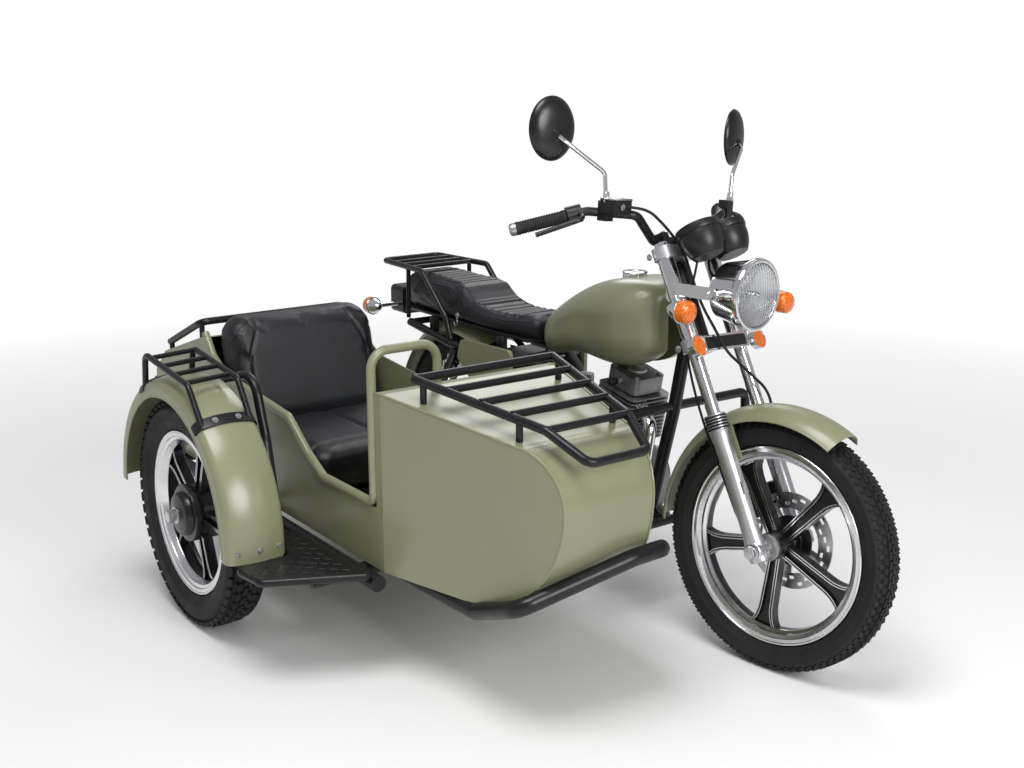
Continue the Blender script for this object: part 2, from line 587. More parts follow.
# ---- headlamp: faceted reflector, bulb, fluted lens and bezel
lamp = {"face": Vector((1.172, 0, 0.896)), "lens": 0.0785, "bulge": 0.0138}
bm = bmesh.new()
addTurned(bm, [(1.2, -12.8), (18, -12.8), (30, -12), (45, -10.2), (60, -7.4), (72, -4), (78.2, -2.2)], 24, 0,
          (1, 0, 0), lamp["face"])
addTurned(bm, [(0, -12.5), (8.5, -12.5), (9, -11), (9, -6), (6.6, -5), (6.6, 1.5), (4, 4.5), (0, 5.2)], 28,
          1, (1, 0, 0), lamp["face"])
newPiece("lampReflector", bm, "chromePlate brushedSteel", "front_fork", True, 20, "headlamp_lens")
bm = bmesh.new()
arc = [(lamp["lens"] * math.sin(a), -0.002 + (lamp["bulge"] + 0.002) * math.cos(a))
       for a in (math.pi / 2 * k / 12 for k in range(13))]
inner = [(r * 0.972, x - 0.0018) for r, x in arc]
addSpin(bm, arc + inner[::-1], 64, 0, (1, 0, 0), lamp["face"])
newPiece("lampLens", bm, "lampGlass", "front_fork", True, 60)
bm = bmesh.new()
addTurned(bm, [(78.5, -4), (79.5, 0.8), (83, 2), (86.8, 1), (89, -3), (89.5, -9), (88.5, -15),
               (86.2, -16.5)], 80, 0, (1, 0, 0), lamp["face"])
addBolt(bm, lamp["face"] + Vector((-0.012, 0, -0.0885)), (0, 0, -1), 0.0035, 1)
for side in (-1, 1):
    addBolt(bm, (1.122, side * 0.1133, 0.896), (0, side, 0), 0.0098, 0)
newPiece("lampBezel", bm, "chromePlate brushedSteel", "front_fork", True)

# ---- turn signals: faceted amber lens over the front of each chrome shell, and its rim
signals = {
    "front": (Vector((1.122, -0.2, 0.86)), Vector((1.122, 0.2, 0.86)), Vector((1, 0, 0))),
    "rear": (Vector((-0.364, -0.152, 0.658)), Vector((-0.364, 0.152, 0.658)), Vector((-1, 0, 0))),
}
for key, (right, left, way) in signals.items():
    lenses, rims = bmesh.new(), bmesh.new()
    for place in (right, left):
        addTurned(lenses, [(27.4, -21), (27.6, -2), (26.2, 4), (21.5, 8.5), (12, 11.2), (0, 11.8)], 40, 0,
                  way, place)
        addTurned(rims, [(27, -24.5), (28.5, -24), (29, -22.2), (28.5, -20.4), (27, -20)], 40, 0, way, place)
    steered = key == "front"
    body = "front_fork" if steered else "vehicle"
    newPiece(f"{key}SignalLenses", lenses, "amberFacets", body, steered)
    newPiece(f"{key}SignalRims", rims, "chromePlate", body, steered)

# ---- plate on the fork: chrome frame, blank black inset and a round amber reflector at each end
plateShape = {"ahead": 0.032, "half": 0.086, "side": 0.083, "low": 0.488, "high": 0.528}
reflectorPlace = {"ahead": 0.0285, "side": 0.121, "up": 0.502}
middleUp = (plateShape["low"] + plateShape["high"]) / 2
tall = plateShape["high"] - plateShape["low"]
bm = bmesh.new()
for up in (plateShape["low"] + 0.003, plateShape["high"] - 0.003):
    bar = onFork(plateShape["ahead"], 0, up)
    addBlock(bm, bar, (0.0045, plateShape["half"] * 2, 0.006), forkTurn, 0.0015)
for side in (-1, 1):
    bar = onFork(plateShape["ahead"], side * plateShape["side"], middleUp)
    addBlock(bm, bar, (0.0045, 0.006, tall), forkTurn, 0.0015)
    reflector = onFork(reflectorPlace["ahead"], side * reflectorPlace["side"], reflectorPlace["up"])
    addTurned(bm, [(23.5, 11), (26.2, 11), (26.8, 12.5), (26.6, 15), (24.5, 16), (23.5, 14)], 40, 0,
              forkAhead, reflector)
addBlock(bm, onFork(0.0318, 0, middleUp), (0.0015, 0.16, tall - 0.01), forkTurn, 0.0004, 1)
newPiece("plateFrame", bm, "chromePlate blackPaint", "front_fork", True)
bm = bmesh.new()
for side in (-1, 1):
    reflector = onFork(reflectorPlace["ahead"], side * reflectorPlace["side"], reflectorPlace["up"])
    addTurned(bm, [(24, 12.2), (23.6, 14), (20, 15.8), (0, 17.2)], 40, 0, forkAhead, reflector)
newPiece("plateReflectors", bm, "amberFacets", "front_fork", True)
print("lamps dressed")

# ---- instruments: bezel, dial with its ticks and needle, and glass, both facing the rider
podShape = {"ahead": 0.097, "side": 0.051, "up": 0.708, "way": Vector((-0.55, 0, 0.83)).normalized(),
            "face": 0.076, "radius": 0.055, "ticks": 25}
bm, glass = bmesh.new(), bmesh.new()
podTurn = Matrix(((0, 1, 0), podShape["way"].cross((0, 1, 0)), podShape["way"])).transposed()
for side in (-1, 1):
    base = onFork(podShape["ahead"], side * podShape["side"], podShape["up"])
    face = base + podShape["way"] * podShape["face"]
    rim = podShape["radius"]
    bezel = [(rim - 0.006, -0.001), (rim - 0.005, 0.0022), (rim - 0.002, 0.0034), (rim + 0.0008, 0.0022),
             (rim + 0.0012, -0.004), (rim + 0.0012, -0.012), (rim, -0.0155)]
    addSpin(bm, bezel, 64, 0, podShape["way"], face)
    addSpin(bm, [(0, 0.0003), (rim - 0.006, 0.0003)], 64, 1, podShape["way"], face)
    for n in range(podShape["ticks"]):
        angle = math.radians(225 - 270 * n / (podShape["ticks"] - 1))
        turn = podTurn @ Matrix.Rotation(angle, 3, "Z")
        long = 0.007 if n % 4 == 0 else 0.0035
        addBlock(bm, face + turn @ Vector((0.043 - long / 2, 0, 0.0006)), (long, 0.001, 0.0004), turn, 0, 2)
    turn = podTurn @ Matrix.Rotation(math.radians(225), 3, "Z")
    addBlock(bm, face + turn @ Vector((0.014, 0, 0.0012)), (0.04, 0.0016, 0.0006), turn, 0, 3)
    addDrum(bm, face + podShape["way"] * 0.0006, podShape["way"], 0.0055, 0.0022, 0, 24, 0.0006)
    cover = [(0, 0.003), (0.03, 0.0026), (rim - 0.006, 0.0012), (rim - 0.006, 0.0006), (0.03, 0.002),
             (0, 0.0024)]
    addSpin(glass, cover, 48, 0, podShape["way"], face)
newPiece("dials", bm, "blackPlastic blackPaint dialWhite redLens", "front_fork", True)
newPiece("dialGlass", glass, "clearGlass", "front_fork", True, 60)

# ---- mirrors: domed housing, bright glass facing the rider, knuckle and stem
mirrorShape = {"middle": Vector((0.804, -0.357, 1.261)), "across": Vector((-0.26, -0.966, 0)), "half": 0.062,
               "tall": 0.076, "facing": Vector((0.966, -0.26, 0.03)),
               "stem": [(0.884, -0.244, 1.088), (0.88, -0.252, 1.165), (0.834, -0.345, 1.232),
                        (0.812, -0.357, 1.25)]}
across = mirrorShape["across"].normalized()
facing = mirrorShape["facing"].normalized()
upright = across.cross(facing).normalized()
stem = [Vector(point) for point in mirrorShape["stem"]]
bm = bmesh.new()
addSpin(bm, [(0, 0.0112), (0.3, 0.0108), (0.6, 0.0085), (0.82, 0.004), (0.95, -0.002), (1.0, -0.008),
             (0.995, -0.0104), (0.97, -0.011), (0.95, -0.01), (0.945, -0.0086)], 56, 0, (0, 0, 1))
addSpin(bm, [(0.952, -0.0092), (0, -0.0092)], 56, 1, (0, 0, 1))
place = Matrix((across * mirrorShape["half"], upright * mirrorShape["tall"], facing)).transposed().to_4x4()
bmesh.ops.transform(bm, matrix=Matrix.Translation(mirrorShape["middle"]) @ place, verts=bm.verts)
addTube(bm, bentPath(stem, 0.02), 0.0052, 2, 16)
addDrum(bm, stem[0] + Vector((0, 0, 0.006)), (0, -0.1, 1), 0.0098, 0.012, 2, 6, 0.001)
addDrum(bm, stem[0] + Vector((0, -0.001, 0.018)), (0, -0.1, 1), 0.0078, 0.014, 2, 24, 0.002)
addTurned(bm, [(0, -14), (8, -12), (9.5, 0), (8, 10), (0, 12)], 24, 0, stem[-1] - stem[-2], stem[-1])
otherSide = bmesh.ops.duplicate(bm, geom=bm.verts[:] + bm.edges[:] + bm.faces[:])["geom"]
copied = [item for item in otherSide if isinstance(item, bmesh.types.BMVert)]
bmesh.ops.scale(bm, vec=(1, -1, 1), verts=copied)
newPiece("mirrorPieces", bm, "wheelPaint mirrorGlass chromePlate", "front_fork", True, 40,
         "mirrors")
print("instruments and mirrors dressed")

# ---- padded pieces: a smaller closed form is swelled by cloth pressure, then sewn


def roundedRing(low, high, side, radius):
    # a rounded rectangle from low to high in the first direction and to each side in the second
    radius = min(radius, side * 0.98, (high - low) * 0.49)
    steps = 6
    corners = ((high - radius, side - radius, 0), (low + radius, side - radius, 90),
               (low + radius, radius - side, 180), (high - radius, radius - side, 270))
    return [
        (a + radius * math.cos(math.radians(start + 90 * k / steps)),
         b + radius * math.sin(math.radians(start + 90 * k / steps)))
        for a, b, start in corners for k in range(steps + 1)
    ]


def addRings(bm, rings):
    rows = [[bm.verts.new(p) for p in ring] for ring in rings]
    count = len(rows[0])
    for first, second in zip(rows, rows[1:]):
        for k in range(count):
            bm.faces.new((first[k], first[(k + 1) % count], second[(k + 1) % count], second[k]))
    bm.faces.new(rows[0][::-1])
    bm.faces.new(rows[-1])


def bakedMesh(piece):
    mesh = bpy.data.meshes.new_from_object(piece.evaluated_get(bpy.context.evaluated_depsgraph_get()))
    piece.modifiers.clear()
    return mesh


def addPad(name, rings, voxel, cap, replaced, channels):
    # the cap is how far cloth may move a point, and fill is how full the pad is
    bm = bmesh.new()
    addRings(bm, rings)
    bmesh.ops.recalc_face_normals(bm, faces=bm.faces)
    mesh = bpy.data.meshes.new(name)
    bm.to_mesh(mesh)
    bm.free()
    mesh.transform(toPart)
    piece = addObject(name, mesh)
    remesh = piece.modifiers.new("remesh", "REMESH")
    remesh.mode = "VOXEL"
    remesh.voxel_size = voxel
    piece.data = bakedMesh(piece)
    start = [v.co.copy() for v in piece.data.vertices]
    cloth = piece.modifiers.new("cloth", "CLOTH")
    cloth.settings.quality = 5
    cloth.settings.use_pressure = True
    cloth.settings.uniform_pressure_force = 4
    cloth.settings.effector_weights.gravity = 0
    cloth.point_cache.frame_start = 1
    cloth.point_cache.frame_end = 20
    for number in range(1, 21):
        bpy.context.scene.frame_set(number)
    swelled = bakedMesh(piece)
    for vertex, home in zip(swelled.vertices, start):
        move = vertex.co - home
        if move.length > cap:
            vertex.co = home + move.normalized() * cap
    piece.data = swelled
    bpy.context.scene.frame_set(1)
    smooth = piece.modifiers.new("smooth", "SMOOTH")
    smooth.factor = 0.5
    smooth.iterations = 3
    divide = piece.modifiers.new("divide", "SUBSURF")
    divide.levels = divide.render_levels = 1
    piece.data = bakedMesh(piece)
    sewChannels(piece.data, channels)
    piece.data.shade_smooth()
    piece.data.materials.clear()
    piece.data.materials.append(bpy.data.materials["blackLeather"])
    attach(piece, "vehicle")
    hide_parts(replaced)
    return piece


def sewChannels(mesh, channels):
    # each channel is the way its surface faces, a line sunk into that surface, its depth and its width
    places = [v.co.copy() for v in mesh.vertices]
    normals = [v.normal.copy() for v in mesh.vertices]
    for facing, line, depth, width in channels:
        facing = Vector(facing)
        line = [toPart @ Vector(p) for p in line]
        flat = [p - facing * p.dot(facing) for p in line]
        lows = [min(p[i] for p in flat) - 0.02 for i in range(3)]
        highs = [max(p[i] for p in flat) + 0.02 for i in range(3)]
        for number, (place, normal) in enumerate(zip(places, normals)):
            if normal.dot(facing) < 0.25:
                continue
            here = place - facing * place.dot(facing)
            if any(here[i] < lows[i] or here[i] > highs[i] for i in range(3)):
                continue
            nearest = min(
                (here - a - (b - a) * min(max((here - a).dot(b - a) / (b - a).length_squared, 0), 1)).length
                for a, b in zip(flat, flat[1:])
            )
            places[number] = place - facing * depth * math.exp(-(nearest / width) ** 2)
    mesh.vertices.foreach_set("co", [value for place in places for value in place])
    mesh.update()


def surfaceLine(piece, points, facing):
    # points dropped onto a piece along one direction, from well outside it, in the drawing's own places
    mesh = piece.data
    tree = BVHTree.FromPolygons([v.co for v in mesh.vertices], [p.vertices for p in mesh.polygons])
    facing = Vector(facing)
    line = []
    for point in points:
        hit = tree.ray_cast(toPart @ Vector(point) + facing * 2, -facing)[0]
        if hit is not None:
            line.append(toPart.inverted() @ hit)
    return line


def evenly(points, step):
    # the same polyline with points no further apart than step
    line = [Vector(points[0])]
    for before, after in zip(points, points[1:]):
        before, after = Vector(before), Vector(after)
        count = max(1, math.ceil((after - before).length / step))
        line += [before.lerp(after, k / count) for k in range(1, count + 1)]
    return line


sidecarMiddle = -0.545
seatShape = {
    # along, half width, underside, top, corner radius
    "sections": ((0.426, 0.058, 0.674, 0.722, 0.016), (0.412, 0.07, 0.668, 0.728, 0.02),
                 (0.37, 0.084, 0.667, 0.726, 0.024), (0.3, 0.096, 0.667, 0.719, 0.024),
                 (0.24, 0.101, 0.667, 0.716, 0.024), (0.18, 0.102, 0.667, 0.72, 0.024),
                 (0.135, 0.102, 0.667, 0.732, 0.026), (0.105, 0.102, 0.667, 0.75, 0.028),
                 (0.08, 0.102, 0.667, 0.768, 0.03), (0.04, 0.102, 0.667, 0.776, 0.032),
                 (-0.06, 0.102, 0.668, 0.779, 0.032), (-0.16, 0.099, 0.672, 0.782, 0.032),
                 (-0.22, 0.094, 0.676, 0.778, 0.03), (-0.25, 0.086, 0.682, 0.764, 0.026),
                 (-0.262, 0.072, 0.694, 0.748, 0.018)),
    "riderRibs": (0.165, 0.2, 0.235, 0.27, 0.305, 0.34),
    "pillionRibs": (0.03, -0.005, -0.04, -0.075, -0.11, -0.145, -0.18),
    "panel": 0.068,
}
ribLines = [((0, 0, 1), [(x, -seatShape["panel"], 0), (x, seatShape["panel"], 0)], 0.0045, 0.0055)
            for x in seatShape["riderRibs"] + seatShape["pillionRibs"]]
seatPad = addPad(
    "seatPad",
    [[(x, side, up) for up, side in roundedRing(low, high, half, corner)]
     for x, half, low, high, corner in seatShape["sections"]],
    0.005, 0.006, "seat", ribLines,
)
backShape = {
    # height, rear face, front face
    "rows": ((0.272, -0.098, -0.004), (0.29, -0.104, -0.002), (0.4, -0.126, -0.002),
             (0.47, -0.14, -0.003), (0.56, -0.158, -0.028), (0.65, -0.176, -0.052),
             (0.69, -0.174, -0.066), (0.715, -0.168, -0.082), (0.73, -0.158, -0.1)),
    "half": 0.234, "corner": 0.066, "top": 0.736,
}


def backHalf(height):
    over = max(0, height - (backShape["top"] - backShape["corner"]))
    return backShape["half"] - backShape["corner"] + math.sqrt(max(backShape["corner"] ** 2 - over ** 2, 0))


backSeams = [
    ((1, 0, 0), [(0, sidecarMiddle + side * (0.19 - 0.5 * max(0, z - 0.62)), z)
                 for z in (0.3, 0.4, 0.5, 0.6, 0.64, 0.68, 0.71)], 0.004, 0.005)
    for side in (-1, 1)
]
backPad = addPad(
    "backPad",
    [[(x, sidecarMiddle + side, z) for x, side in roundedRing(rear, front, backHalf(z), 0.034)]
     for z, rear, front in backShape["rows"]],
    0.006, 0.008, "sidecar_backrest", backSeams,
)
cushionShape = {"rows": ((0.344, 0.012), (0.356, 0.0), (0.42, 0.0), (0.44, 0.004), (0.452, 0.016)),
                "rear": 0.014, "front": 0.434, "half": 0.232}
addPad(
    "cushionPad",
    [[(x, sidecarMiddle + side, z)
      for x, side in roundedRing(cushionShape["rear"] + inset, cushionShape["front"] - inset,
                                 cushionShape["half"] - inset, 0.04)]
     for z, inset in cushionShape["rows"]],
    0.006, 0.008, "sidecar_cushion",
    [((0, 0, 1), [(0.352 - 0.012 * (side == 0), sidecarMiddle + side * 0.22, 0) for side in (-1, 0, 1)],
      0.006, 0.008),
     ((0, 0, 1), [(0.05, sidecarMiddle, 0), (0.345, sidecarMiddle, 0)], 0.006, 0.009)],
)
print("pads swelled and sewn")

# ---- piping: welts sewn along the pads' edges, and the seat's strap hook and pan
bm = bmesh.new()
for rib, half in ((seatShape["riderRibs"], 0.074), (seatShape["pillionRibs"], 0.076)):
    front, rear = max(rib) + 0.022, min(rib) - 0.02
    loop = evenly([(front, -half + 0.01, 0), (rear, -half, 0), (rear, half, 0), (front, half - 0.01, 0),
                   (front, -half + 0.01, 0)], 0.008)
    addTube(bm, surfaceLine(seatPad, loop[:-1], (0, 0, 1)), 0.0017, 0, 8, True)
for side in (-1, 1):
    edge = [(0.402, 0, 0.716), (0.3, 0, 0.706), (0.2, 0, 0.706), (0.12, 0, 0.72), (0.078, 0, 0.748),
            (0.03, 0, 0.762), (-0.1, 0, 0.766), (-0.225, 0, 0.764)]
    addTube(bm, surfaceLine(seatPad, evenly(edge, 0.01), (0, side, 0)), 0.002, 0, 8)
    step = [(0.096, 0, 0.735), (0.104, 0, 0.715), (0.1, 0, 0.69), (0.088, 0, 0.676)]
    addTube(bm, surfaceLine(seatPad, evenly(step, 0.006), (0, side, 0)), 0.002, 0, 8)
for side in (-1, 1):
    seam = evenly([(0, sidecarMiddle + side * out, z) for out, z in (
        (0.226, 0.48), (0.226, 0.56), (0.226, 0.66), (0.2, 0.7), (0.16, 0.72))], 0.01)
    addTube(bm, surfaceLine(backPad, seam, (1, 0, 0)), 0.0018, 0, 8)
newPiece("welts", bm, "blackLeather", "vehicle")
bm = bmesh.new()
addBlock(bm, (0.09, 0, 0.6625), (0.64, 0.176, 0.009), None, 0.003, 1)
for x in (0.3, -0.06):
    for side in (-1, 1):
        addBlock(bm, (x, side * 0.098, 0.639), (0.03, 0.02, 0.048), None, 0.004, 1)
for side in (-1, 1):
    addBolt(bm, (0.086, side * 0.1085, 0.69), (0, side, 0), 0.006, 0)
    hook = [(0.086, side * 0.112, 0.684), (0.092, side * 0.114, 0.668), (0.078, side * 0.113, 0.655),
            (0.07, side * 0.112, 0.668)]
    addTube(bm, bentPath(hook, 0.008), 0.0022, 0, 10)
newPiece("seatPan", bm, "chromePlate blackPlastic", "vehicle")
print("seats dressed")

# ---- sidecar: rolled edges along the body's outline
tub = {"near": -0.8, "far": -0.29, "bend": 0.796, "taper": 0.25, "bead": 0.0032}


def arcThrough(first, middle, last, count):
    # points on the circle through three points of a plane
    (ax, az), (bx, bz), (cx, cz) = first, middle, last
    aa, bb, cc = (x * x + z * z for x, z in (first, middle, last))
    d = 2 * (ax * (bz - cz) + bx * (cz - az) + cx * (az - bz))
    ux = (aa * (bz - cz) + bb * (cz - az) + cc * (az - bz)) / d
    uz = (aa * (cx - bx) + bb * (ax - cx) + cc * (bx - ax)) / d
    radius = math.hypot(ax - ux, az - uz)
    begin, mid, end = (math.atan2(z - uz, x - ux) for x, z in (first, middle, last))
    turn = (end - begin) % math.tau
    if (mid - begin) % math.tau > turn:
        turn -= math.tau
    angles = [begin + turn * k / count for k in range(count + 1)]
    return [(ux + radius * math.cos(angle), uz + radius * math.sin(angle)) for angle in angles]


edge = [(0.772, 0.6966), (0.796, 0.698)]
edge += arcThrough((1.185, 0.651), (1.2786, 0.612), (1.315, 0.526), 12)
edge += arcThrough((1.315, 0.526), (1.243, 0.346), (1.075, 0.262), 14)[1:]
edge += [(-0.48, 0.262), (-0.59, 0.42), (-0.59, 0.49), (-0.508, 0.562), (-0.189, 0.664)]
bm = bmesh.new()
for side, start in ((1, tub["near"]), (-1, tub["far"])):
    line = [(x, start + side * tub["taper"] * max(0, x - tub["bend"]) + side * 0.002, z) for x, z in edge]
    addTube(bm, evenly(line, 0.03), tub["bead"], 0, 10)
newPiece("bodyEdges", bm, "olivePaint", "vehicle")

# ---- fender: rolled lips, bolts at its foot and on the straps
fender = {"centre": Vector((0.232, -1.0225, 0.303)), "half": 0.0775, "lip": 0.312, "crown": 0.362,
          "drop": 0.016, "from": -3.4, "to": 177, "straps": (54.7, 115)}
bm = bmesh.new()
for side in (-1, 1):
    line = []
    for k in range(71):
        angle = math.radians(fender["from"] + (fender["to"] - fender["from"]) * k / 70)
        line.append(onCircle(fender["centre"], fender["lip"], angle, side * (fender["half"] - 0.0012)))
    addTube(bm, line, 0.003, 0, 10)
for across in (-0.052, 0.0, 0.052):
    drop = fender["drop"] * (across / fender["half"]) ** 2
    addBolt(bm, fender["centre"] + Vector((fender["crown"] - drop, across, 0.002)), (1, 0, 0), 0.0052, 1)
for angle in fender["straps"]:
    out = onCircle((0, 0, 0), 1, math.radians(angle))
    for across in (-0.03, 0.03):
        rise = fender["crown"] + 0.0042 - fender["drop"] * (across / fender["half"]) ** 2
        addBolt(bm, fender["centre"] + out * rise + aside(across), out, 0.0056, 1)
newPiece("fenderTrim", bm, "olivePaint brushedSteel", "vehicle")

# ---- front mudguard lips
bm = bmesh.new()
for side in (-1, 1):
    line = [onCircle(frontAxle, 0.3068, math.radians(62 + 119 * k / 50), side * 0.0615) for k in range(51)]
    addTube(bm, line, 0.0026, 0, 10)
newPiece("mudguardLips", bm, "olivePaint", "front_fork", True)

# ---- running board: raised lozenges of checker plate
board = {"outline": ((0.8, -0.8523), (0.692, -1.068), (0.592, -1.08), (0.592, -0.938), (0.446, -0.93),
                     (0.446, -0.8523)),
         "top": 0.275, "pitch": 0.021, "size": (0.019, 0.0042, 0.0022), "margin": 0.017}


def edgeDistance(x, y, outline):
    # how far a point lies inside the outline, negative where it is outside
    nearest, inside = 9.0, False
    for (ax, ay), (bx, by) in zip(outline, outline[1:] + outline[:1]):
        share = ((x - ax) * (bx - ax) + (y - ay) * (by - ay)) / ((bx - ax) ** 2 + (by - ay) ** 2)
        share = min(max(share, 0), 1)
        nearest = min(nearest, math.hypot(x - ax - share * (bx - ax), y - ay - share * (by - ay)))
        if (ay > y) != (by > y) and x < ax + (y - ay) * (bx - ax) / (by - ay):
            inside = not inside
    return nearest if inside else -nearest


bm = bmesh.new()
for row in range(20):
    for column in range(14):
        x, y = 0.44 + row * board["pitch"], -1.09 + column * board["pitch"]
        clear = math.hypot(x - 0.52, y + 0.934) > 0.026
        if edgeDistance(x, y, board["outline"]) > board["margin"] and clear:
            turn = Matrix.Rotation(math.radians(45 if (row + column) % 2 else -45), 3, "Z")
            addBlock(bm, (x, y, board["top"] + 0.0002), board["size"], turn, 0.0009, 0, 1)
newPiece("checkerPlate", bm, "blackPaint", "vehicle")

# ---- sidecar wheel: long stepped axle nut
bm = bmesh.new()
addTurned(bm, [(0, 0), (15.5, 0), (16.8, 1.2), (16.8, 21.5), (0, 21.5)], 6, 0, (0, 1, 0),
          (0.232, -1.1094, 0.303))
addTurned(bm, [(0, 0), (21.5, 0), (22.5, 1), (22.5, 3), (0, 3)], 32, 0, (0, 1, 0), (0.232, -1.0885, 0.303))
newPiece("axleNut", bm, "brushedSteel", "vehicle")
print("sidecar dressed")

# ---- rear shocks: chromed body, coil spring, collars and eyes
shock = {"low": Vector((0.014, 0, 0.3305)), "high": Vector((0.07, 0, 0.5795)), "side": 0.118, "coil": 0.0225,
         "wire": 0.0034, "turns": 9, "from": 0.055, "to": 0.205}
bm = bmesh.new()
for side in (-1, 1):
    low, high = shock["low"] + aside(side * shock["side"]), shock["high"] + aside(side * shock["side"])
    way = (high - low).normalized()
    addTurned(bm, [(0, 6), (13, 6), (13, 40), (23.5, 42), (24.5, 46), (24.5, 54), (23.5, 56), (12, 56),
                   (12, 150), (13.5, 152), (13.5, 200), (24.5, 205), (25, 214), (23.5, 222), (13, 228),
                   (13, 246), (0, 246)], 36, 0, way, low)
    across = way.orthogonal().normalized()
    other = way.cross(across)
    coil = []
    for k in range(shock["turns"] * 20 + 1):
        angle = math.tau * k / 20
        share = k / (shock["turns"] * 20)
        coil.append(low + way * (shock["from"] + (shock["to"] - shock["from"]) * share) +
                    (across * math.cos(angle) + other * math.sin(angle)) * shock["coil"])
    addTube(bm, coil, shock["wire"], 0, 10)
    addTurned(bm, [(0, -22), (13.5, -22), (15, -19), (15, 13), (13.5, 16), (0, 16)], 32, 1, (0, 1, 0),
              low - aside(side * 0.001))
    addBolt(bm, low + aside(side * 0.0152), (0, side, 0), 0.0075, 2)
newPiece("coilShocks", bm, "chromePlate gripRubber brushedSteel", "vehicle",
         replaced="rear_shocks")

# ---- drive chain: plates and rollers round both sprockets
chain = {"rear": Vector((0, 0, 0.303)), "front": Vector((0.54, 0, 0.348)), "rearRadius": 0.0905,
         "frontRadius": 0.0405, "links": 118, "plate": (0.0165, 0.0013, 0.0095), "middle": 0.064}
gap = chain["front"] - chain["rear"]
reach = math.hypot(gap.x, gap.z)
tilt = math.atan2(gap.z, gap.x)
spread = math.acos((chain["rearRadius"] - chain["frontRadius"]) / reach)
loop = []
for k in range(49):
    angle = tilt + spread + (math.tau - 2 * spread) * k / 48
    loop.append(onCircle(chain["rear"], chain["rearRadius"], angle))
for k in range(25):
    angle = tilt - spread + 2 * spread * k / 24
    loop.append(onCircle(chain["front"], chain["frontRadius"], angle))
loop.append(loop[0])
lengths = [0]
for before, after in zip(loop, loop[1:]):
    lengths.append(lengths[-1] + (after - before).length)


def alongLoop(distance):
    distance %= lengths[-1]
    number = next(i for i in range(1, len(lengths)) if lengths[i] >= distance)
    share = (distance - lengths[number - 1]) / (lengths[number] - lengths[number - 1])
    return loop[number - 1].lerp(loop[number], share)


bm = bmesh.new()
pitch = lengths[-1] / chain["links"]
for n in range(chain["links"]):
    first, second = alongLoop(n * pitch), alongLoop((n + 1) * pitch)
    way = (second - first).normalized()
    turn = Matrix.Rotation(math.atan2(-way.z, way.x), 3, "Y")
    middle = (first + second) / 2 + aside(chain["middle"])
    for side in (-1, 1):
        offset = aside(side * (0.0046 if n % 2 else 0.0031))
        addBlock(bm, middle + offset, chain["plate"], turn, 0.0005, 0, 1)
    addTurned(bm, [(0, -5.6), (2.4, -5.6), (2.4, -2.6), (4, -2.6), (4, 2.6), (2.4, 2.6), (2.4, 5.6),
                   (0, 5.6)], 8, 0, (0, 1, 0), first + aside(chain["middle"]))
newPiece("chainLinks", bm, "brushedSteel", "vehicle", replaced="drive_chain")

# ---- grips with moulded rings, end caps, lever pivots and the brake reservoir's lid
barShape = {"end": Vector((0.741, 0.401, 1.02)), "inner": Vector((0.84, 0.262, 1.07))}


def barSide(side):
    # the end of the bar on one side, and the way along it to the middle
    end = Vector((barShape["end"].x, side * barShape["end"].y, barShape["end"].z))
    inner = Vector((barShape["inner"].x, side * barShape["inner"].y, barShape["inner"].z))
    return end, (inner - end).normalized()


bm = bmesh.new()
for side in (-1, 1):
    end, way = barSide(side)
    rings = [(0.0114, 0.0004), (0.016, 0.0006), (0.0162, 0.008)]
    for n in range(15):
        at = 0.012 + n * 0.0066
        rings += [(0.015, at), (0.016, at + 0.0012), (0.016, at + 0.004), (0.015, at + 0.0052)]
    rings += [(0.0158, 0.115), (0.0164, 0.117), (0.0164, 0.124), (0.015, 0.125), (0.0114, 0.125)]
    addSpin(bm, rings, 40, 0, way, end)
    addTurned(bm, [(0, -15.8), (10, -15.5), (14.2, -13), (15.6, -8), (15.6, -1), (14, 0), (0, 0)], 40, 1,
              way, end)
newPiece("grips", bm, "gripRubber brushedSteel", "front_fork", True, 40, "hand_grips")
bm = bmesh.new()
addBlock(bm, (0.896, -0.222, 1.1025), (0.049, 0.065, 0.005), None, 0.0018, 0)
for off in (-0.024, 0.024):
    addDrum(bm, (0.896, -0.222 + off, 1.1048), (0, 0, 1), 0.0036, 0.0014, 1, 20, 0.0004)
addTurned(bm, [(0, 0), (8, 0), (8, 1.2), (6.2, 1.6), (0, 1.6)], 28, 1, (1, 0, 0), (0.9188, -0.222, 1.085))
for side in (-1, 1):
    end, way = barSide(side)
    root = end + way * 0.147
    addDrum(bm, root + Vector((0.016, 0, 0.0075)), (0, 0, 1), 0.0075, 0.0045, 1, 24, 0.0008)
    addDrum(bm, root + Vector((0.016, 0, -0.012)), (0, 0, 1), 0.0065, 0.0045, 1, 24, 0.0008)
    addDrum(bm, end + way * 0.145 + Vector((-0.0215, 0, 0.004)), (-1, 0, 0), 0.005, 0.0024, 2, 24, 0.0006)
newPiece("controlFittings", bm, "blackPlastic brushedSteel redLens", "front_fork", True)
print("controls dressed")

